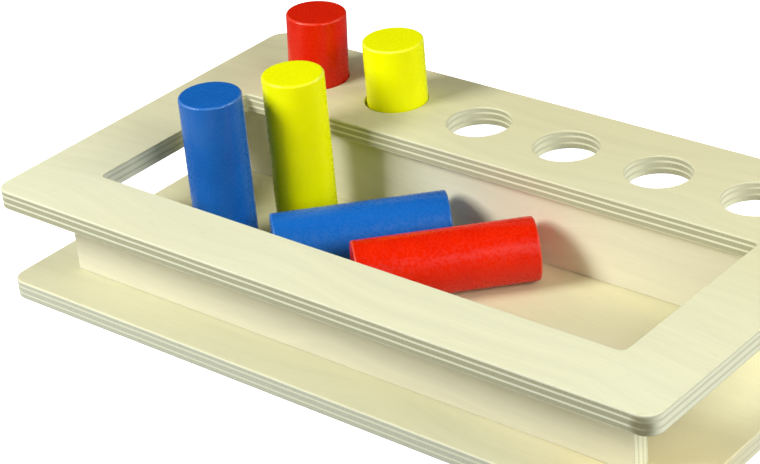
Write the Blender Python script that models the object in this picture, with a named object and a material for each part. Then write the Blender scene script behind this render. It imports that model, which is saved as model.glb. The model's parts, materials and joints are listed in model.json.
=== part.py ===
"""A toy bench with a tray and six painted pegs.

Two plywood boards with the same outline are held apart by two plywood walls that stand
on edge. The upper board has a tray opening and a row of round peg holes. Hidden glued
dowels tie each wall to both boards. The pegs are loose: two stand in the holes, two stand
in the tray and two lie in it.

Lengths are metres. +Z is up, the front of the bench is -Y, and the origin is the middle
of the base board's underside.
"""
import bpy
import bmesh
from math import cos, radians, sin, tan
from mathutils import Matrix, Vector

MM = 0.001

# Boards: the base board and the top board share this outline.
BOARD_LENGTH = 350 * MM
BOARD_WIDTH = 194 * MM
BOARD_THICKNESS = 9 * MM
BOARD_CORNER_RADIUS = 7.5 * MM
ARRIS_RADIUS = 0.8 * MM

# Tray opening in the top board: the rims of board left around it.
LEFT_RIM = 34.3 * MM
RIGHT_RIM = 35.0 * MM
FRONT_RIM = 33.3 * MM
REAR_STRIP = 63.4 * MM
OPENING_CORNER_RADIUS = 3 * MM

# Walls: on edge between the boards, set back a little from the opening's edges.
WALL_THICKNESS = 9 * MM
WALL_HEIGHT = 36.6 * MM
WALL_LEFT_INSET = 22.2 * MM
WALL_RIGHT_INSET = 24.9 * MM
FRONT_WALL_SETBACK = 1.2 * MM
BACK_WALL_SETBACK = 5.6 * MM
GLUE_LINE = 0.3 * MM

# Pegs: six turned cylinders of one nominal length. How far each is cut off it is given by name.
PEG_DIAMETER = 28.6 * MM
PEG_LENGTH = 78.8 * MM
PEG_LENGTH_ERRORS = {
    "yellow_peg_in_hole": -2.7 * MM,
    "blue_peg_standing": -0.6 * MM,
    "yellow_peg_standing": -0.8 * MM,
    "blue_peg_lying": 0.7 * MM,
    "red_peg_lying": 1.6 * MM,
}
PEG_ARRIS_RADIUS = 1.1 * MM
PEG_SEAT_GAP = 0.3 * MM

# Peg holes: one row behind the back wall.
HOLE_COUNT = 6
PEG_HOLE_CLEARANCE = 0.7 * MM
FIRST_HOLE_INSET = 52.5 * MM
LAST_HOLE_INSET = 55.7 * MM
PEG_ROW_GAP = 2.2 * MM

# Dowels: glued pins, half in a wall's edge and half in a board.
DOWELS_PER_EDGE = 3
DOWEL_DIAMETER = 5 * MM
DOWEL_LENGTH = 17 * MM
DOWEL_DEPTH_IN_BOARD = 5.5 * MM
DOWEL_END_INSET = 36 * MM
DOWEL_CHAMFER = 0.5 * MM
DOWEL_CLEARANCE = 0.3 * MM

# Facets round each kind of curve.
CORNER_SEGMENTS = 6
PEG_SEGMENTS = 48
DOWEL_SEGMENTS = 16
ARRIS_SEGMENTS = 2

# Heights of the faces that things rest on.
BASE_TOP = BOARD_THICKNESS
WALL_BOTTOM = BASE_TOP + GLUE_LINE
WALL_TOP = WALL_BOTTOM + WALL_HEIGHT
TOP_BOARD_BOTTOM = WALL_TOP + GLUE_LINE
TOP_BOARD_TOP = TOP_BOARD_BOTTOM + BOARD_THICKNESS
PEG_FLOOR = BASE_TOP + PEG_SEAT_GAP

# Plan places, worked out from the sizes above.
BOARD_LEFT = -BOARD_LENGTH / 2
BOARD_RIGHT = BOARD_LENGTH / 2
BOARD_FRONT = -BOARD_WIDTH / 2
BOARD_BACK = BOARD_WIDTH / 2
OPENING_LEFT = BOARD_LEFT + LEFT_RIM
OPENING_RIGHT = BOARD_RIGHT - RIGHT_RIM
OPENING_FRONT = BOARD_FRONT + FRONT_RIM
OPENING_BACK = BOARD_BACK - REAR_STRIP
WALL_LEFT = BOARD_LEFT + WALL_LEFT_INSET
WALL_RIGHT = BOARD_RIGHT - WALL_RIGHT_INSET
FRONT_WALL_Y = OPENING_FRONT - FRONT_WALL_SETBACK - WALL_THICKNESS / 2
BACK_WALL_FACE = OPENING_BACK + BACK_WALL_SETBACK
BACK_WALL_Y = BACK_WALL_FACE + WALL_THICKNESS / 2
PEG_RADIUS = PEG_DIAMETER / 2
HOLE_RADIUS = PEG_RADIUS + PEG_HOLE_CLEARANCE
PEG_ROW_Y = BACK_WALL_FACE + WALL_THICKNESS + PEG_ROW_GAP + PEG_RADIUS
FIRST_HOLE_X = BOARD_LEFT + FIRST_HOLE_INSET
HOLE_PITCH = (BOARD_LENGTH - FIRST_HOLE_INSET - LAST_HOLE_INSET) / (HOLE_COUNT - 1)

# Cutters run this far past the faces that they cut through.
CUT_MARGIN = 2 * MM

# Pegs in the holes stand off centre, towards this heading. PEG_SIDE_GAP is left on that side.
# One of them leans that way too.
HOLE_PEG_HEADING = radians(39)
HOLE_PEG_LEAN = radians(2.9)
PEG_SIDE_GAP = 0.2 * MM

# Pegs in the tray. Standing ones: distance of the axis from the opening's left edge and
# from the back wall. Lying ones: where the axis reaches the far end, from the opening's
# left edge, the heading across the tray, and the gap left between that end and the wall.
BLUE_STANDING = (35.7 * MM, 64.0 * MM)
YELLOW_STANDING = (53.1 * MM, 28.2 * MM)
BLUE_LYING_X = 123.7 * MM
RED_LYING_X = 171.5 * MM
LYING_HEADING = radians(47)
BLUE_LYING_WALL_GAP = 1.6 * MM
RED_LYING_WALL_GAP = 1.3 * MM

# sRGB colours of the finishes.
BIRCH_COLOUR = (0.89, 0.85, 0.70)
BEECH_COLOUR = (0.80, 0.63, 0.45)
RED_COLOUR = (0.86, 0.12, 0.03)
YELLOW_COLOUR = (0.93, 0.92, 0.05)
BLUE_COLOUR = (0.10, 0.35, 0.72)


def clear_scene():
    for obj in list(bpy.data.objects):
        bpy.data.objects.remove(obj, do_unlink=True)


def to_linear(channel):
    """One sRGB channel as the linear value that a shader takes."""
    if channel <= 0.04045:
        return channel / 12.92
    return ((channel + 0.055) / 1.055) ** 2.4


def make_material(name, colour, roughness):
    material = bpy.data.materials.new(name)
    material.use_nodes = True
    shader = material.node_tree.nodes["Principled BSDF"]
    shader.inputs["Base Color"].default_value = [to_linear(c) for c in colour] + [1]
    shader.inputs["Roughness"].default_value = roughness
    shader.inputs["Metallic"].default_value = 0
    return material


def make_object(name, bm, location=(0, 0, 0), material=None):
    """Turn a bmesh into a linked object with its origin at location."""
    bmesh.ops.recalc_face_normals(bm, faces=bm.faces)
    mesh = bpy.data.meshes.new(name)
    bm.to_mesh(mesh)
    bm.free()
    obj = bpy.data.objects.new(name, mesh)
    obj.location = location
    bpy.context.scene.collection.objects.link(obj)
    if material is not None:
        mesh.materials.append(material)
    return obj


def make_cutter(name, bm, location=(0, 0, 0)):
    cutter = make_object(name, bm, location)
    cutter.hide_render = True
    cutter.display_type = "WIRE"
    return cutter


def cut(obj, cutter):
    modifier = obj.modifiers.new("cut " + cutter.name, "BOOLEAN")
    modifier.operation = "DIFFERENCE"
    modifier.solver = "EXACT"
    modifier.object = cutter


def round_arrises(obj, radius):
    """Round every sharp edge over, as a router and sandpaper do."""
    modifier = obj.modifiers.new("rounded arrises", "BEVEL")
    modifier.limit_method = "ANGLE"
    modifier.angle_limit = radians(40)
    modifier.width = radius
    modifier.segments = ARRIS_SEGMENTS


def shade_round(obj):
    obj.data.shade_smooth()
    obj.data.set_sharp_from_angle(angle=radians(40))


def block_bmesh(size, corner_radius=0):
    """A block centred on its origin, with its four upright edges rounded."""
    bm = bmesh.new()
    bmesh.ops.create_cube(bm, size=1, matrix=Matrix.Diagonal((*size, 1)))
    if corner_radius > 0:
        upright = [e for e in bm.edges if abs(e.verts[0].co.z - e.verts[1].co.z) > size[2] / 2]
        bmesh.ops.bevel(bm, geom=upright, offset=corner_radius, affect="EDGES",
                        segments=CORNER_SEGMENTS, profile=0.5, material=-1)
    return bm


def add_cylinder(bm, radius, bottom, top, segments, x=0, y=0):
    """Add an upright cylinder from bottom to top round the point x, y."""
    place = Matrix.Translation((x, y, (bottom + top) / 2))
    bmesh.ops.create_cone(bm, cap_ends=True, cap_tris=False, segments=segments, radius1=radius,
                          radius2=radius, depth=top - bottom, matrix=place)


def round_rims(bm, radius, segments):
    """Round the two end rims of an upright cylinder."""
    rims = [e for e in bm.edges if abs(e.verts[0].co.z - e.verts[1].co.z) < radius / 2]
    bmesh.ops.bevel(bm, geom=rims, offset=radius, affect="EDGES", segments=segments,
                    profile=0.5, material=-1)


def dowel_places():
    """X of each dowel along a wall, the same on every glued edge."""
    first = WALL_LEFT + DOWEL_END_INSET
    last = WALL_RIGHT - DOWEL_END_INSET
    step = (last - first) / (DOWELS_PER_EDGE - 1)
    return [first + step * index for index in range(DOWELS_PER_EDGE)]


def socket_cutter(name, bottom, top, rows):
    """Cylinders that cut the dowel sockets between two heights, along each row's y."""
    bm = bmesh.new()
    for y in rows:
        for x in dowel_places():
            add_cylinder(bm, DOWEL_DIAMETER / 2 + DOWEL_CLEARANCE, bottom, top,
                         DOWEL_SEGMENTS, x, y)
    return make_cutter(name, bm)


def dowel_span(glue_bottom, board_below):
    """Bottom and top of the dowels across the glue line that starts at glue_bottom."""
    if board_below:
        bottom = glue_bottom - DOWEL_DEPTH_IN_BOARD
        return bottom, bottom + DOWEL_LENGTH
    top = glue_bottom + GLUE_LINE + DOWEL_DEPTH_IN_BOARD
    return top - DOWEL_LENGTH, top


LOWER_DOWELS = dowel_span(BASE_TOP, board_below=True)
UPPER_DOWELS = dowel_span(WALL_TOP, board_below=False)
WALL_ROWS = (FRONT_WALL_Y, BACK_WALL_Y)


def make_base_board(material):
    size = (BOARD_LENGTH, BOARD_WIDTH, BOARD_THICKNESS)
    bm = block_bmesh(size, BOARD_CORNER_RADIUS)
    board = make_object("base_board", bm, (0, 0, BOARD_THICKNESS / 2), material)
    round_arrises(board, ARRIS_RADIUS)
    socket_floor = LOWER_DOWELS[0] - DOWEL_CLEARANCE
    cut(board, socket_cutter("base_sockets", socket_floor, BASE_TOP + CUT_MARGIN, WALL_ROWS))
    shade_round(board)
    return board


def opening_cutter():
    length = OPENING_RIGHT - OPENING_LEFT
    width = OPENING_BACK - OPENING_FRONT
    depth = BOARD_THICKNESS + 2 * CUT_MARGIN
    centre_x = (OPENING_LEFT + OPENING_RIGHT) / 2
    centre_y = (OPENING_FRONT + OPENING_BACK) / 2
    centre_z = (TOP_BOARD_BOTTOM + TOP_BOARD_TOP) / 2
    bm = block_bmesh((length, width, depth), OPENING_CORNER_RADIUS)
    return make_cutter("tray_opening", bm, (centre_x, centre_y, centre_z))


def peg_hole_cutter():
    bm = bmesh.new()
    for index in range(HOLE_COUNT):
        add_cylinder(bm, HOLE_RADIUS, TOP_BOARD_BOTTOM - CUT_MARGIN, TOP_BOARD_TOP + CUT_MARGIN,
                     PEG_SEGMENTS, FIRST_HOLE_X + HOLE_PITCH * index, PEG_ROW_Y)
    return make_cutter("peg_holes", bm)


def make_top_board(material):
    size = (BOARD_LENGTH, BOARD_WIDTH, BOARD_THICKNESS)
    bm = block_bmesh(size, BOARD_CORNER_RADIUS)
    centre_z = (TOP_BOARD_BOTTOM + TOP_BOARD_TOP) / 2
    board = make_object("top_board", bm, (0, 0, centre_z), material)
    cut(board, opening_cutter())
    cut(board, peg_hole_cutter())
    round_arrises(board, ARRIS_RADIUS)
    socket_roof = UPPER_DOWELS[1] + DOWEL_CLEARANCE
    cut(board, socket_cutter("top_sockets", TOP_BOARD_BOTTOM - CUT_MARGIN, socket_roof, WALL_ROWS))
    shade_round(board)
    return board


def make_wall(name, y, material):
    size = (WALL_RIGHT - WALL_LEFT, WALL_THICKNESS, WALL_HEIGHT)
    centre = ((WALL_LEFT + WALL_RIGHT) / 2, y, (WALL_BOTTOM + WALL_TOP) / 2)
    wall = make_object(name, block_bmesh(size), centre, material)
    lower_end = LOWER_DOWELS[1] + DOWEL_CLEARANCE
    upper_end = UPPER_DOWELS[0] - DOWEL_CLEARANCE
    cut(wall, socket_cutter(name + "_lower_sockets", WALL_BOTTOM - CUT_MARGIN, lower_end, (y,)))
    cut(wall, socket_cutter(name + "_upper_sockets", upper_end, WALL_TOP + CUT_MARGIN, (y,)))
    shade_round(wall)
    return wall


def make_dowel(name, x, y, span, material):
    bm = bmesh.new()
    add_cylinder(bm, DOWEL_DIAMETER / 2, 0, span[1] - span[0], DOWEL_SEGMENTS)
    round_rims(bm, DOWEL_CHAMFER, 1)
    dowel = make_object(name, bm, (x, y, span[0]), material)
    shade_round(dowel)
    return dowel


def make_dowels(material):
    for wall, y in (("front", FRONT_WALL_Y), ("back", BACK_WALL_Y)):
        for edge, span in (("lower", LOWER_DOWELS), ("upper", UPPER_DOWELS)):
            for index, x in enumerate(dowel_places(), start=1):
                make_dowel(f"{wall}_{edge}_dowel_{index}", x, y, span, material)


def peg_length(name):
    return PEG_LENGTH + PEG_LENGTH_ERRORS.get(name, 0)


def make_peg(name, material):
    """A peg standing on its origin."""
    bm = bmesh.new()
    add_cylinder(bm, PEG_RADIUS, 0, peg_length(name), PEG_SEGMENTS)
    round_rims(bm, PEG_ARRIS_RADIUS, ARRIS_SEGMENTS)
    peg = make_object(name, bm, material=material)
    shade_round(peg)
    return peg


def place_peg(peg, foot, tilt=0, heading=0):
    """Put the middle of a peg's foot at a point and tilt the peg towards a heading."""
    peg.location = foot
    peg.rotation_euler = (0, tilt, heading)


def put_peg_in_hole(peg, hole_index, leans):
    """Stand a peg off centre in its hole, upright or leaning against the hole's upper edge."""
    lean = HOLE_PEG_LEAN if leans else 0
    foot = Vector((FIRST_HOLE_X + HOLE_PITCH * hole_index, PEG_ROW_Y, PEG_FLOOR))
    foot.z += PEG_RADIUS * sin(lean)
    offset = PEG_HOLE_CLEARANCE - PEG_SIDE_GAP - tan(lean) * (TOP_BOARD_TOP - foot.z)
    sideways = Vector((cos(HOLE_PEG_HEADING), sin(HOLE_PEG_HEADING), 0)) * offset
    place_peg(peg, foot + sideways, lean, HOLE_PEG_HEADING)


def stand_peg_in_tray(peg, place):
    from_left, from_wall = place
    place_peg(peg, (OPENING_LEFT + from_left, BACK_WALL_FACE - from_wall, PEG_FLOOR))


def lay_peg_in_tray(peg, far_end_from_left, wall_gap):
    """Lay a peg on its side across the tray, its far end near the back wall."""
    far_end = Vector((OPENING_LEFT + far_end_from_left,
                      BACK_WALL_FACE - wall_gap - PEG_RADIUS * cos(LYING_HEADING),
                      PEG_FLOOR + PEG_RADIUS))
    along = Vector((cos(LYING_HEADING), sin(LYING_HEADING), 0))
    place_peg(peg, far_end - along * peg_length(peg.name), radians(90), LYING_HEADING)


def make_pegs(red, yellow, blue):
    put_peg_in_hole(make_peg("red_peg_in_hole", red), 0, leans=True)
    put_peg_in_hole(make_peg("yellow_peg_in_hole", yellow), 1, leans=False)
    stand_peg_in_tray(make_peg("blue_peg_standing", blue), BLUE_STANDING)
    stand_peg_in_tray(make_peg("yellow_peg_standing", yellow), YELLOW_STANDING)
    lay_peg_in_tray(make_peg("blue_peg_lying", blue), BLUE_LYING_X, BLUE_LYING_WALL_GAP)
    lay_peg_in_tray(make_peg("red_peg_lying", red), RED_LYING_X, RED_LYING_WALL_GAP)


def make_bench():
    birch = make_material("birch plywood", BIRCH_COLOUR, 0.55)
    beech = make_material("beech dowel", BEECH_COLOUR, 0.6)
    make_base_board(birch)
    make_top_board(birch)
    make_wall("front_wall", FRONT_WALL_Y, birch)
    make_wall("back_wall", BACK_WALL_Y, birch)
    make_dowels(beech)
    make_pegs(make_material("red lacquer", RED_COLOUR, 0.35),
              make_material("yellow lacquer", YELLOW_COLOUR, 0.35),
              make_material("blue lacquer", BLUE_COLOUR, 0.35))


clear_scene()
make_bench()
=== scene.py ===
import json
from math import cos, radians, sin

import bmesh
import bpy
from mathutils import Matrix, Quaternion, Vector


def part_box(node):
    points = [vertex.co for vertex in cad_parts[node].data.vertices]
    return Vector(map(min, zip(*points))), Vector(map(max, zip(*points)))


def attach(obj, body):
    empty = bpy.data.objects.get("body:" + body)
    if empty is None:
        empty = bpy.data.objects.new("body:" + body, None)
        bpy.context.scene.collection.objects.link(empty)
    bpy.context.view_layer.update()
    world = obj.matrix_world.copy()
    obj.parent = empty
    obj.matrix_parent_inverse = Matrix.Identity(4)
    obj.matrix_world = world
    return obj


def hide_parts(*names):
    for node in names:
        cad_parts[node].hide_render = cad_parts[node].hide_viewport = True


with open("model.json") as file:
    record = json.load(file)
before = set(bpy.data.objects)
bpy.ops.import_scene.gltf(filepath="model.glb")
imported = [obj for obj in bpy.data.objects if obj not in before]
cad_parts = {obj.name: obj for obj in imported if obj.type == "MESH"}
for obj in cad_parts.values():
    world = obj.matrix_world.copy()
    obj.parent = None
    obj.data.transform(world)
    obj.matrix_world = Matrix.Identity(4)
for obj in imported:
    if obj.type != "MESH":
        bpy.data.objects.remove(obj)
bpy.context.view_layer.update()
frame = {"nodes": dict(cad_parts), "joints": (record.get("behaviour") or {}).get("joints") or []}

# The camera. A long lens stands in front of the bench and to its right, looks down into the tray,
# and is tipped a little, so the long sides run down to the right.
MM = 0.001
aim = Vector((-5.4, -32.1, 50)) * MM
distance = 985.7 * MM
azimuth, elevation, tip = radians(41.92), radians(28.62), radians(-5.37)
backwards = Vector((sin(azimuth) * cos(elevation), -cos(azimuth) * cos(elevation), sin(elevation)))
long_lens = bpy.data.cameras.new("long_lens")
long_lens.lens = 110.6
camera = bpy.data.objects.new("camera", long_lens)
camera.location = aim + backwards * distance
camera.rotation_mode = "QUATERNION"
camera.rotation_quaternion = (-backwards).to_track_quat("-Z", "Y") @ Quaternion((0, 0, 1), tip)
scene = bpy.context.scene
scene.collection.objects.link(camera)
scene.camera = camera
scene.view_settings.view_transform = "Standard"


# The studio floor is a sheet of matt white acrylic lit from underneath, as a product table is,
# so the bench throws no shadow on it. Its own light is kept off the bench.
def linear(colour):
    """The linear colour and alpha that a shader takes for an sRGB hex value."""
    channels = [int(colour[i:i + 2], 16) / 255 for i in (0, 2, 4)]
    return [c / 12.92 if c <= 0.04045 else ((c + 0.055) / 1.055) ** 2.4 for c in channels] + [1]


def new_piece(name, bm):
    """Turns a bmesh into an object at the origin, with its place in its mesh."""
    mesh = bpy.data.meshes.new(name)
    bm.to_mesh(mesh)
    bm.free()
    piece = bpy.data.objects.new(name, mesh)
    scene.collection.objects.link(piece)
    return piece


floor_width = 12
floor_gap = 0.1 * MM
acrylic = bpy.data.materials.new("white_acrylic")
acrylic.use_nodes = True
acrylic_shader = acrylic.node_tree.nodes["Principled BSDF"]
acrylic_shader.inputs["Base Color"].default_value = linear("F4F4F4")
acrylic_shader.inputs["Roughness"].default_value = 0.7
acrylic_shader.inputs["Emission Color"].default_value = linear("FFFFFF")
acrylic_shader.inputs["Emission Strength"].default_value = 1
floor_bm = bmesh.new()
bmesh.ops.create_grid(floor_bm, x_segments=1, y_segments=1, size=floor_width / 2,
                      matrix=Matrix.Translation((0, 0, -floor_gap)))
floor = new_piece("studio_floor", floor_bm)
floor.data.materials.append(acrylic)
floor.visible_diffuse = False
floor.visible_glossy = False


# The studio lights. A softbox in front and to the left is the key, and two more light the
# bench's right end. The room is dark above the table and the table glows a little below it, so
# the tray's shadows stay warm and deep.
def softbox(name, turn, height, size, watts):
    """A square area light 1 m from the bench, turned round it from the front, that faces it."""
    middle = Vector((0, 0, 50)) * MM
    turn, height = radians(turn), radians(height)
    light = bpy.data.lights.new(name, "AREA")
    light.size = size
    light.energy = watts
    lamp = bpy.data.objects.new(name, light)
    outwards = Vector((sin(turn) * cos(height), -cos(turn) * cos(height), sin(height)))
    lamp.location = middle + outwards
    lamp.rotation_mode = "QUATERNION"
    lamp.rotation_quaternion = (middle - lamp.location).to_track_quat("-Z", "Y")
    scene.collection.objects.link(lamp)


def add_node(owner, kind, settings=None, inputs=None):
    """Adds a shader node to a material or the world. An input is linked where its value is another
    node's socket. By number, a MapRange node's inputs 0 to 4 are the value, from low, from high,
    to low and to high. A Mix node's input 0 is the share, 2 and 3 are the numbers that it mixes,
    and 6 and 7 are the colours."""
    made = owner.node_tree.nodes.new("ShaderNode" + kind)
    for name, value in (settings or {}).items():
        setattr(made, name, value)
    for name, value in (inputs or {}).items():
        if isinstance(value, bpy.types.NodeSocket):
            owner.node_tree.links.new(value, made.inputs[name])
        else:
            made.inputs[name].default_value = value
    return made


softbox("left_softbox", -34, 34, 0.42, 11.7)
softbox("right_softbox", 80, 29, 0.5, 6.6)
softbox("rear_right_softbox", 125, 35, 0.4, 3.6)
studio = bpy.data.worlds.new("studio")
studio.use_nodes = True
room = studio.node_tree.nodes["Background"]
room.inputs["Color"].default_value = linear("FFFFFF")
room_place = add_node(studio, "TexCoord").outputs["Generated"]
room_height = add_node(studio, "SeparateXYZ", inputs={0: room_place}).outputs["Z"]
table_glow = add_node(studio, "MapRange", inputs={0: room_height, 1: -0.02, 2: 0.02,
                                                  3: 0.25, 4: 0.03}).outputs[0]
studio.node_tree.links.new(table_glow, room.inputs["Strength"])
scene.world = studio


# The base board. Birch plywood, 9 mm thick, cut out on a router with round corners. Its arrises
# are softened with sandpaper, and blind sockets for the dowels are bored from above.
corner_radius = 7.5 * MM
arris_radius = 0.8 * MM
sharp_angle = radians(40)
socket_clearance = 0.3 * MM
cut_margin = 2 * MM  # how far a cutter runs past the face that it opens
level_height = 1 * MM  # an edge that rises less than this lies level
wall_dowels = {wall: [name for name in frame["nodes"] if name.startswith(wall) and "dowel" in name]
               for wall in ("front", "back")}


def block(low, high, radius=0, segments=12):
    """A block between two corners, with its upright edges rounded."""
    bm = bmesh.new()
    place = Matrix.Translation((low + high) / 2) @ Matrix.Diagonal((*(high - low), 1))
    bmesh.ops.create_cube(bm, size=1, matrix=place)
    if radius > 0:
        upright = [e for e in bm.edges if abs(e.verts[0].co.z - e.verts[1].co.z) > level_height]
        bmesh.ops.bevel(bm, geom=upright, offset=radius, affect="EDGES", segments=segments,
                        profile=0.5, material=-1)
    return bm


def add_bore(bm, x, y, bottom, top, radius, segments):
    """Adds an upright cylinder, to bore a hole with."""
    bmesh.ops.create_cone(bm, cap_ends=True, segments=segments, radius1=radius, radius2=radius,
                          depth=top - bottom, matrix=Matrix.Translation((x, y, (bottom + top) / 2)))


def dowel_sockets(names, bottom=None, top=None):
    """Bores round each named dowel. A height that is not given is the dowel's end and its play."""
    bm = bmesh.new()
    for name in names:
        low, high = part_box(name)
        centre = (low + high) / 2
        add_bore(bm, centre.x, centre.y, low.z - socket_clearance if bottom is None else bottom,
                 high.z + socket_clearance if top is None else top,
                 (high.x - low.x) / 2 + socket_clearance, 32)
    return bm


def apply_modifiers(piece):
    """Gives a piece the mesh that its modifiers make."""
    depsgraph = bpy.context.evaluated_depsgraph_get()
    mesh = bpy.data.meshes.new_from_object(piece.evaluated_get(depsgraph))
    piece.modifiers.clear()
    piece.data = mesh


def cut(piece, bm):
    """Cuts a bmesh's shape out of a piece."""
    cutter = new_piece(piece.name + "_cutter", bm)
    modifier = piece.modifiers.new("cut", "BOOLEAN")
    modifier.operation = "DIFFERENCE"
    modifier.object = cutter
    apply_modifiers(piece)
    bpy.data.objects.remove(cutter)


def soften_arrises(piece):
    """Rounds every sharp edge, as a light sanding does."""
    modifier = piece.modifiers.new("softened arrises", "BEVEL")
    modifier.limit_method = "ANGLE"
    modifier.angle_limit = sharp_angle
    modifier.width = arris_radius
    modifier.segments = 4
    apply_modifiers(piece)


def finish_wood(piece, material, *nodes):
    """Shades a piece smooth with its flat faces kept flat, and puts it in its CAD nodes' place."""
    piece.data.shade_smooth()
    piece.data.set_sharp_from_angle(angle=sharp_angle)
    piece.modifiers.new("flat faces", "WEIGHTED_NORMAL").keep_sharp = True
    piece.data.materials.clear()
    piece.data.materials.append(material)
    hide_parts(*nodes)
    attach(piece, "bench")


def face_veneer(material, own_place, from_front, front, rear):
    """The sanded face, pale cream with a faint long grain, that goes from the front colour to the
    rear one across the sheet, as painted light and shade. It gives the colour, and the fibres for
    the bump."""
    # The grain wanders up to some fifteen degrees off the long side, over stretches of 120 mm.
    waves = add_node(material, "TexNoise", inputs={0: own_place, "Scale": 8, "Detail": 1})
    drift = add_node(material, "MapRange", inputs={0: waves.outputs[0], 3: -26 * MM, 4: 26 * MM})
    drift_place = add_node(material, "CombineXYZ", inputs={1: drift.outputs[0]})
    grain_place = add_node(material, "VectorMath", {"operation": "ADD"},
                           {0: own_place, 1: drift_place.outputs[0]}).outputs[0]

    # Fibres are about 1 mm wide and 30 mm long, drawn coarser than real ones. Bands of figure are
    # 6 mm wide and 150 mm long, dark flecks 0.8 mm by 7 mm, and clouds of colour 70 mm across.
    fibre_place = add_node(material, "Mapping", inputs={0: grain_place, 3: (33, 1000, 1000)})
    fibres = add_node(material, "TexNoise", inputs={0: fibre_place.outputs[0], "Scale": 1,
                                                    "Detail": 3, "Roughness": 0.6}).outputs[0]
    figure_place = add_node(material, "Mapping", inputs={0: grain_place, 3: (6.5, 160, 160)})
    figure = add_node(material, "TexNoise", inputs={0: figure_place.outputs[0], "Scale": 1,
                                                    "Detail": 4, "Roughness": 0.55}).outputs[0]
    fleck_place = add_node(material, "Mapping", inputs={0: grain_place, 3: (150, 1300, 1300)})
    fleck_noise = add_node(material, "TexNoise", inputs={0: fleck_place.outputs[0], "Scale": 1,
                                                         "Detail": 1}).outputs[0]
    flecks = add_node(material, "MapRange", inputs={0: fleck_noise, 1: 0.68, 2: 0.78}).outputs[0]
    clouds = add_node(material, "TexNoise", inputs={0: own_place, "Scale": 14,
                                                    "Detail": 2}).outputs[0]

    # The face goes from the front colour to the rear one across the sheet, painted light and shade,
    # mixed with random clouds of colour.
    painted_light_towards_rear = add_node(material, "MapRange", inputs={0: from_front, 1: -70 * MM, 2: 70 * MM})
    painted_light_and_clouds = add_node(material, "Mix", inputs={0: 0.35, 2: painted_light_towards_rear.outputs[0], 3: clouds})
    cream = add_node(material, "Mix", {"data_type": "RGBA"},
                     {0: painted_light_and_clouds.outputs[0], 6: linear(front), 7: linear(rear)}).outputs[2]
    figure_tone = add_node(material, "MapRange", inputs={0: figure, 1: 0.3, 2: 0.7,
                                                         3: 0.96, 4: 1.025}).outputs[0]
    fibre_tone = add_node(material, "MapRange", inputs={0: fibres, 1: 0.25, 2: 0.75,
                                                        3: 0.97, 4: 1.02}).outputs[0]
    tone = add_node(material, "Math", {"operation": "MULTIPLY"},
                    {0: figure_tone, 1: fibre_tone}).outputs[0]
    toned = add_node(material, "VectorMath", {"operation": "SCALE"}, {0: cream, 3: tone}).outputs[0]
    fleck_share = add_node(material, "Math", {"operation": "MULTIPLY"}, {0: flecks, 1: 0.1})
    face = add_node(material, "Mix", {"data_type": "RGBA"},
                    {0: fleck_share.outputs[0], 6: toned, 7: linear("8C7A4E")}).outputs[2]
    return face, fibres


def seven_plies(material, own_place, height_through, sheet_bottom):
    """The plies, up through the sheet: thin faces, thick cross plies and core, and two thin long
    plies, with a line of glue at each joint. It gives two numbers. The first is 0 in a long ply
    and 1 in a cross ply, and the second is 1 in the glue."""
    sheet, half_glue = 9, 0.05  # millimetres, as the plies below are
    long_ply, cross_ply, glue = (0, 0, 0, 1), (1, 0, 0, 1), (0.5, 1, 0, 1)
    layers = ((0.45, long_ply), (2, cross_ply), (1, long_ply), (2.15, cross_ply),
              (1, long_ply), (1.55, cross_ply), (0.85, long_ply))

    # The joints waver by up to 0.2 mm.
    waves = add_node(material, "TexNoise", inputs={0: own_place, "Scale": 45})
    waver = add_node(material, "MapRange", inputs={0: waves.outputs[0], 3: -0.2 * MM, 4: 0.2 * MM})
    depth = add_node(material, "Math", {"operation": "ADD"},
                     {0: height_through, 1: waver.outputs[0]})
    share = add_node(material, "MapRange", inputs={0: depth.outputs[0], 1: sheet_bottom,
                                                   2: sheet_bottom + sheet * MM})
    plies = add_node(material, "ValToRGB", inputs={0: share.outputs[0]})
    ramp = plies.color_ramp
    ramp.interpolation = "CONSTANT"
    top = 0
    for thickness, ply in layers:
        if top == 0:
            ramp.elements[0].color = ply
        else:
            ramp.elements.new((top - half_glue) / sheet).color = glue
            ramp.elements.new((top + half_glue) / sheet).color = ply
        top += thickness
    ramp.elements.remove(ramp.elements[-1])
    kinds = add_node(material, "SeparateColor", inputs={0: plies.outputs[0]}).outputs
    return kinds[0], kinds[1]


def run_out(material, facing):
    """How far a grain along one axis runs out of the surface: 0 seen sideways, 1 seen end on."""
    size = add_node(material, "Math", {"operation": "ABSOLUTE"}, {0: facing}).outputs[0]
    return add_node(material, "Math", {"operation": "POWER"}, {0: size, 1: 2}).outputs[0]


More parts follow.
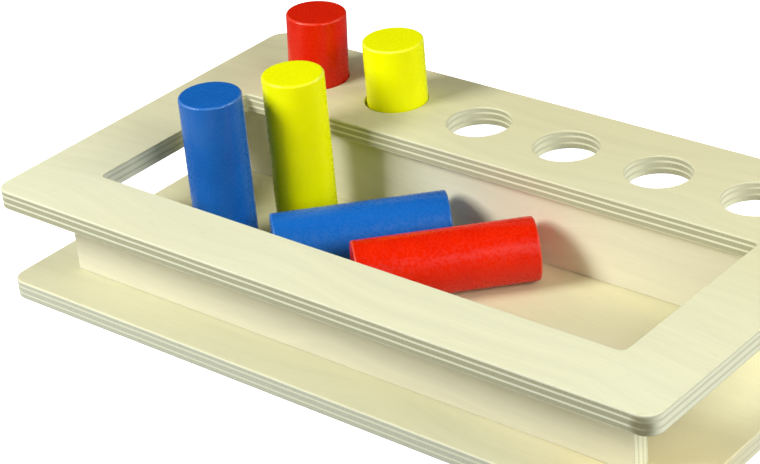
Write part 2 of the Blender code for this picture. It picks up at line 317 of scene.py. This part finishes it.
def sanded_plywood(name, through, sheet_bottom, shift, front, rear, pore, between):
    """Sanded birch plywood, with its face grain along X. On a cut edge, each ply whose grain runs
    out of the edge is dark and porous, from the pore colour to the one between pores, and each ply
    seen sideways is light. through is the axis through the sheet: 2 for a board, 1 for a wall.
    shift moves the pattern, so no two sheets match."""
    material = bpy.data.materials.new(name)
    material.use_nodes = True
    across = 3 - through
    place = add_node(material, "TexCoord")
    at = add_node(material, "SeparateXYZ", inputs={0: place.outputs["Object"]}).outputs
    facing = add_node(material, "SeparateXYZ", inputs={0: place.outputs["Normal"]}).outputs
    flat = add_node(material, "CombineXYZ", inputs={0: at[0], 1: at[across], 2: at[through]})
    own_place = add_node(material, "Mapping", inputs={0: flat.outputs[0], 1: shift}).outputs[0]
    face, fibres = face_veneer(material, own_place, at[across], front, rear)
    in_cross_ply, in_glue = seven_plies(material, own_place, at[through], sheet_bottom)

    # The pores are about 0.7 mm apart, drawn coarser than real ones. A long ply seen end on is
    # only half as dark as a cross ply.
    end_on = add_node(material, "Mix", inputs={0: in_cross_ply, 2: run_out(material, facing[0]),
                                               3: run_out(material, facing[across])}).outputs[0]
    pores = add_node(material, "TexNoise", inputs={0: own_place, "Scale": 1400,
                                                   "Detail": 2}).outputs[0]
    between_pores = add_node(material, "MapRange", inputs={0: pores, 1: 0.25, 2: 0.75}).outputs[0]
    porous = add_node(material, "Mix", {"data_type": "RGBA"},
                      {0: between_pores, 6: linear(pore), 7: linear(between)}).outputs[2]
    most_porous = add_node(material, "Mix", inputs={0: in_cross_ply, 2: 0.45, 3: 0.9}).outputs[0]
    porous_share = add_node(material, "Math", {"operation": "MULTIPLY"},
                            {0: end_on, 1: most_porous}).outputs[0]

    # The cut wood is fresher than the face, and the glue is thin enough to show as a faint line.
    on_face = add_node(material, "Math", {"operation": "ABSOLUTE"}, {0: facing[through]}).outputs[0]
    fresh_share = add_node(material, "MapRange", inputs={0: on_face, 1: 0.3, 2: 0.8,
                                                         3: 0.65, 4: 0}).outputs[0]
    fresh = add_node(material, "Mix", {"data_type": "RGBA"},
                     {0: fresh_share, 6: face, 7: linear("E8EBD2")}).outputs[2]
    wood = add_node(material, "Mix", {"data_type": "RGBA"},
                    {0: porous_share, 6: fresh, 7: porous}).outputs[2]
    glue_share = add_node(material, "Math", {"operation": "MULTIPLY"}, {0: in_glue, 1: 0.15})
    colour = add_node(material, "Mix", {"data_type": "RGBA"},
                      {0: glue_share.outputs[0], 6: wood, 7: linear("7A6A45")}).outputs[2]

    height = add_node(material, "Mix", inputs={0: end_on, 2: fibres, 3: pores}).outputs[0]
    bump = add_node(material, "Bump", inputs={"Strength": 0.25, "Distance": 0.1 * MM,
                                              "Height": height})
    roughness = add_node(material, "MapRange", inputs={0: end_on, 3: 0.5, 4: 0.8})
    shader = material.node_tree.nodes["Principled BSDF"]
    links = material.node_tree.links
    links.new(colour, shader.inputs["Base Color"])
    links.new(bump.outputs[0], shader.inputs["Normal"])
    links.new(roughness.outputs[0], shader.inputs["Roughness"])
    shader.inputs["IOR"].default_value = 1.45
    shader.inputs["Specular IOR Level"].default_value = 0.2
    return material


def tint_and_painted_light(material, place, inner, outer, share, colour):
    """Tints the wood round a place, for real marks and for painted light and shade: by a share as
    far as the inner distance, and not at all past the outer one."""
    shader = material.node_tree.nodes["Principled BSDF"]
    plain = shader.inputs["Base Color"].links[0].from_socket
    here = add_node(material, "TexCoord").outputs["Object"]
    away = add_node(material, "VectorMath", {"operation": "DISTANCE"}, {0: here, 1: place})
    strength = add_node(material, "MapRange", {"interpolation_type": "SMOOTHSTEP"},
                        {0: away.outputs["Value"], 1: inner, 2: outer, 3: share, 4: 0})
    tinted_wood = add_node(material, "Mix", {"data_type": "RGBA"},
                       {0: strength.outputs[0], 6: plain, 7: linear(colour)})
    material.node_tree.links.new(tinted_wood.outputs[2], shader.inputs["Base Color"])


base_low, base_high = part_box("base_board")
lower_dowels = [name for names in wall_dowels.values() for name in names if "lower" in name]
base_board = new_piece("base_board_ply", block(base_low, base_high, corner_radius))
soften_arrises(base_board)
cut(base_board, dowel_sockets(lower_dowels, top=base_high.z + cut_margin))
# Its face goes from a darker front colour, painted shade on the ledge under the top board, to a
# lighter rear one, painted light on the tray's floor.
base_plywood = sanded_plywood("base_plywood", 2, base_low.z, (0.31, 0.17, 0.6),
                              "D2D0B0", "ECE6B8", "B4B79E", "CCCFBA")
# The face veneer is tinted honey by the near right corner, a painted warm shade under the top
# board's overhang, and pale on the tray's floor towards its right end, a painted light.
painted_warm_shade_place = Vector((base_high.x - 8 * MM, base_low.y + 18 * MM, base_high.z))
tint_and_painted_light(base_plywood, painted_warm_shade_place, 15 * MM, 75 * MM, 0.6, "E4D49C")
painted_light_place = Vector((base_high.x - 75 * MM, base_low.y + 62 * MM, base_high.z))
tint_and_painted_light(base_plywood, painted_light_place, 15 * MM, 60 * MM, 0.7, "F6ECC8")
finish_wood(base_board, base_plywood, "base_board")


# The front and back walls. Strips of the same plywood stood on edge, glued and dowelled between
# the boards. Their arrises are left as sawn, because the glue joints cover most of them.
for wall, shift in (("front", (0.83, 0.42, 0.1)), ("back", (0.27, 0.91, 0.5))):
    low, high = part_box(wall + "_wall")
    piece = new_piece(wall + "_wall_ply", block(low, high))
    lower = [name for name in wall_dowels[wall] if "lower" in name]
    upper = [name for name in wall_dowels[wall] if "upper" in name]
    cut(piece, dowel_sockets(lower, bottom=low.z - cut_margin))
    cut(piece, dowel_sockets(upper, top=high.z + cut_margin))
    # The two face colours are painted light and shade; on a wall they change up its height.
    finish_wood(piece, sanded_plywood(wall + "_wall_plywood", 1, low.y, shift,
                                      "DFDAC5", "E2DFC0", "AAA886", "C6C4A6"), wall + "_wall")


# The top board. The same sheet as the base, with the tray's opening and a row of six round peg
# holes cut through it. The router leaves the plies showing round every hole.
opening_radius = 3 * MM
left_rim, right_rim, front_rim, rear_strip = 34.3 * MM, 35 * MM, 33.3 * MM, 63.4 * MM
hole_count = 6
first_hole_inset, last_hole_inset = 52.5 * MM, 55.7 * MM
hole_clearance = 0.7 * MM
peg_row_gap = 2.2 * MM

top_low, top_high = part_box("top_board")
peg_low, peg_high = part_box("yellow_peg_in_hole")
hole_radius = (peg_high.x - peg_low.x) / 2 + hole_clearance
row_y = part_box("back_wall")[1].y + peg_row_gap + (peg_high.x - peg_low.x) / 2
top_board = new_piece("top_board_ply", block(top_low, top_high, corner_radius))
opening_low = Vector((top_low.x + left_rim, top_low.y + front_rim, top_low.z - cut_margin))
opening_high = Vector((top_high.x - right_rim, top_high.y - rear_strip, top_high.z + cut_margin))
cut(top_board, block(opening_low, opening_high, opening_radius))
hole_pitch = (top_high.x - top_low.x - first_hole_inset - last_hole_inset) / (hole_count - 1)
bores = bmesh.new()
for index in range(hole_count):
    add_bore(bores, top_low.x + first_hole_inset + hole_pitch * index, row_y,
             top_low.z - cut_margin, top_high.z + cut_margin, hole_radius, 96)
cut(top_board, bores)
soften_arrises(top_board)
upper_dowels = [name for names in wall_dowels.values() for name in names if "upper" in name]
cut(top_board, dowel_sockets(upper_dowels, bottom=top_low.z - cut_margin))
# Its face goes from the front colour to a darker, yellower rear one, painted shade for the light
# falling off towards the back.
top_plywood = sanded_plywood("top_plywood", 2, top_low.z, (0, 0, 0),
                             "DBDCBC", "DAD4A8", "9D9A77", "B4B292")
# The router dwelt where it turned the near right corner, and scorched the edge olive brown there.
scorch = Vector((top_high.x - 5.5 * MM, top_low.y, top_low.z + 3.5 * MM))
tint_and_painted_light(top_plywood, scorch, 2.5 * MM, 6.5 * MM, 0.7, "76704A")
finish_wood(top_board, top_plywood, "top_board")


# The dowels. Beech pins inside the glue joints, never seen once the bench is together. Beech is
# pinkish tan, with dark rays along the grain that are 0.5 mm wide and 4 mm long.
beech = bpy.data.materials.new("beech")
beech.use_nodes = True
beech_shader = beech.node_tree.nodes["Principled BSDF"]
beech_place = add_node(beech, "TexCoord")
ray_place = add_node(beech, "Mapping", inputs={0: beech_place.outputs["Object"],
                                               3: (2200, 2200, 260)})
rays = add_node(beech, "TexNoise", inputs={0: ray_place.outputs[0], "Scale": 1, "Detail": 2})
beech_colour = add_node(beech, "Mix", {"data_type": "RGBA"},
                        {0: rays.outputs[0], 6: linear("A9805A"), 7: linear("DDBB92")})
beech_bump = add_node(beech, "Bump", inputs={"Strength": 0.3, "Distance": 0.1 * MM,
                                             "Height": rays.outputs[0]})
beech.node_tree.links.new(beech_colour.outputs[2], beech_shader.inputs["Base Color"])
beech.node_tree.links.new(beech_bump.outputs[0], beech_shader.inputs["Normal"])
beech_shader.inputs["Roughness"].default_value = 0.6
for name in lower_dowels + upper_dowels:
    frame["nodes"][name].data.materials.clear()
    frame["nodes"][name].data.materials.append(beech)


# The pegs. Turned hardwood rod, cross cut, tumbled to round the rims, and dipped in satin lacquer
# that is safe in the mouth. Two stand in holes, two stand in the tray and two lie in it.
rim_radius = 1.1 * MM
rim_middle = rim_radius * (1 - cos(radians(45)))  # from the end, and from the side, to mid round
peg_radius = (peg_high.x - peg_low.x) / 2
lying_heading = radians(47)


def satin_lacquer(name, colour, shade, rim_wear_and_highlight_colour, sheen):
    """Satin lacquer on turned wood. It is a full colour with a soft orange peel, a little deeper
    where it pooled, and thin and pale on the rims, which also paints a highlight round them."""
    material = bpy.data.materials.new(name)
    material.use_nodes = True
    place = add_node(material, "Attribute", {"attribute_name": "turned_place"}).outputs["Vector"]
    rim = add_node(material, "Attribute", {"attribute_name": "rim"}).outputs["Fac"]

    # The orange peel's cells are about 1.5 mm across, drawn coarser than the real half millimetre,
    # the raised grain runs 12 mm along the peg, and the lacquer pools in patches 12 mm across.
    peel = add_node(material, "TexNoise", inputs={0: place, "Scale": 650, "Detail": 2}).outputs[0]
    pools = add_node(material, "TexNoise", inputs={0: place, "Scale": 80, "Detail": 2}).outputs[0]
    grain_place = add_node(material, "Mapping", inputs={0: place, 3: (900, 900, 80)})
    grain = add_node(material, "TexNoise", inputs={0: grain_place.outputs[0], "Scale": 1,
                                                   "Detail": 2}).outputs[0]
    pool_share = add_node(material, "MapRange", inputs={0: pools, 1: 0.3, 2: 0.7, 4: 0.6})
    pooled = add_node(material, "Mix", {"data_type": "RGBA"},
                      {0: pool_share.outputs[0], 6: linear(colour), 7: linear(shade)}).outputs[2]

    # The lacquer is thin on the rims, and worn through in places to the pale wood. The pale rim is
    # also a painted highlight round the rims.
    patchy_wear_and_highlight = add_node(material, "MapRange", inputs={0: pools, 1: 0.4, 2: 0.6, 3: 0.1, 4: 0.4})
    worn_and_highlit_rim = add_node(material, "Math", {"operation": "MULTIPLY"}, {0: rim, 1: patchy_wear_and_highlight.outputs[0]})
    lacquer = add_node(material, "Mix", {"data_type": "RGBA"},
                       {0: worn_and_highlit_rim.outputs[0], 6: pooled, 7: linear(rim_wear_and_highlight_colour)})

    height = add_node(material, "Mix", inputs={0: 0.5, 2: peel, 3: grain})
    bump = add_node(material, "Bump", inputs={"Strength": 0.07, "Distance": 0.1 * MM,
                                              "Height": height.outputs[0]})
    roughness = add_node(material, "MapRange", inputs={0: peel, 1: 0.4, 2: 0.6, 3: 0.18, 4: 0.42})
    shader = material.node_tree.nodes["Principled BSDF"]
    links = material.node_tree.links
    links.new(lacquer.outputs[2], shader.inputs["Base Color"])
    links.new(bump.outputs[0], shader.inputs["Normal"])
    links.new(roughness.outputs[0], shader.inputs["Roughness"])
    shader.inputs["IOR"].default_value = 1.5
    shader.inputs["Specular IOR Level"].default_value = sheen
    return material


def turned_peg(length):
    """A peg with its middle on the origin, and its rims rounded."""
    bm = bmesh.new()
    bmesh.ops.create_cone(bm, cap_ends=True, segments=128, radius1=peg_radius, radius2=peg_radius,
                          depth=length)
    rims = [e for e in bm.edges if abs(e.verts[0].co.z - e.verts[1].co.z) < level_height]
    bmesh.ops.bevel(bm, geom=rims, offset=rim_radius, affect="EDGES", segments=6, profile=0.5,
                    material=-1)
    return bm


def add_peg(node, material, along):
    """Turns a peg as long as its CAD node, lays it along a direction there, and finishes it."""
    reach = [vertex.co.dot(along) for vertex in frame["nodes"][node].data.vertices]
    length = max(reach) - min(reach)
    low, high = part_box(node)
    peg = new_piece(node + "_turned", turned_peg(length))

    # Two attributes for the lacquer: the place on the turned peg, moved so no two pegs match, and
    # how near it is to the middle of a rounded rim, up to 1.
    pattern_shift = Vector((low.x, low.y, 0)) * 10
    turned = peg.data.attributes.new("turned_place", "FLOAT_VECTOR", "POINT")
    for vertex in peg.data.vertices:
        turned.data[vertex.index].vector = vertex.co + pattern_shift
    rim = peg.data.attributes.new("rim", "FLOAT", "POINT")
    for vertex in peg.data.vertices:
        from_end = length / 2 - abs(vertex.co.z)
        from_side = peg_radius - vertex.co.xy.length
        rim.data[vertex.index].value = min(from_end * from_side / rim_middle ** 2, 1)

    turn = along.to_track_quat("Z", "Y").to_matrix().to_4x4()
    peg.data.transform(Matrix.Translation((low + high) / 2) @ turn)
    peg.data.shade_smooth()
    peg.data.set_sharp_from_angle(angle=sharp_angle)
    peg.modifiers.new("flat ends", "WEIGHTED_NORMAL").keep_sharp = True
    peg.data.materials.append(material)
    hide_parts(node)
    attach(peg, node + "_body")


# The last colour of each is its pale rim, worn lacquer that also paints a highlight round the rims.
red = satin_lacquer("red_satin_lacquer", "DA2000", "CE1600", "EE7A60", 0.25)
yellow = satin_lacquer("yellow_satin_lacquer", "F0F400", "E8EE00", "F8F6A0", 0.12)
blue = satin_lacquer("blue_satin_lacquer", "1461B2", "0E57A8", "7FA9D6", 0.3)
upright = Vector((0, 0, 1))
lying = Vector((cos(lying_heading), sin(lying_heading), 0))
leaning = Vector(next(j["axis"] for j in frame["joints"] if j["name"] == "red_in_hole_lift"))
add_peg("red_peg_in_hole", red, leaning)
add_peg("yellow_peg_in_hole", yellow, upright)
add_peg("blue_peg_standing", blue, upright)
add_peg("yellow_peg_standing", yellow, upright)
add_peg("blue_peg_lying", blue, lying)
add_peg("red_peg_lying", red, lying)
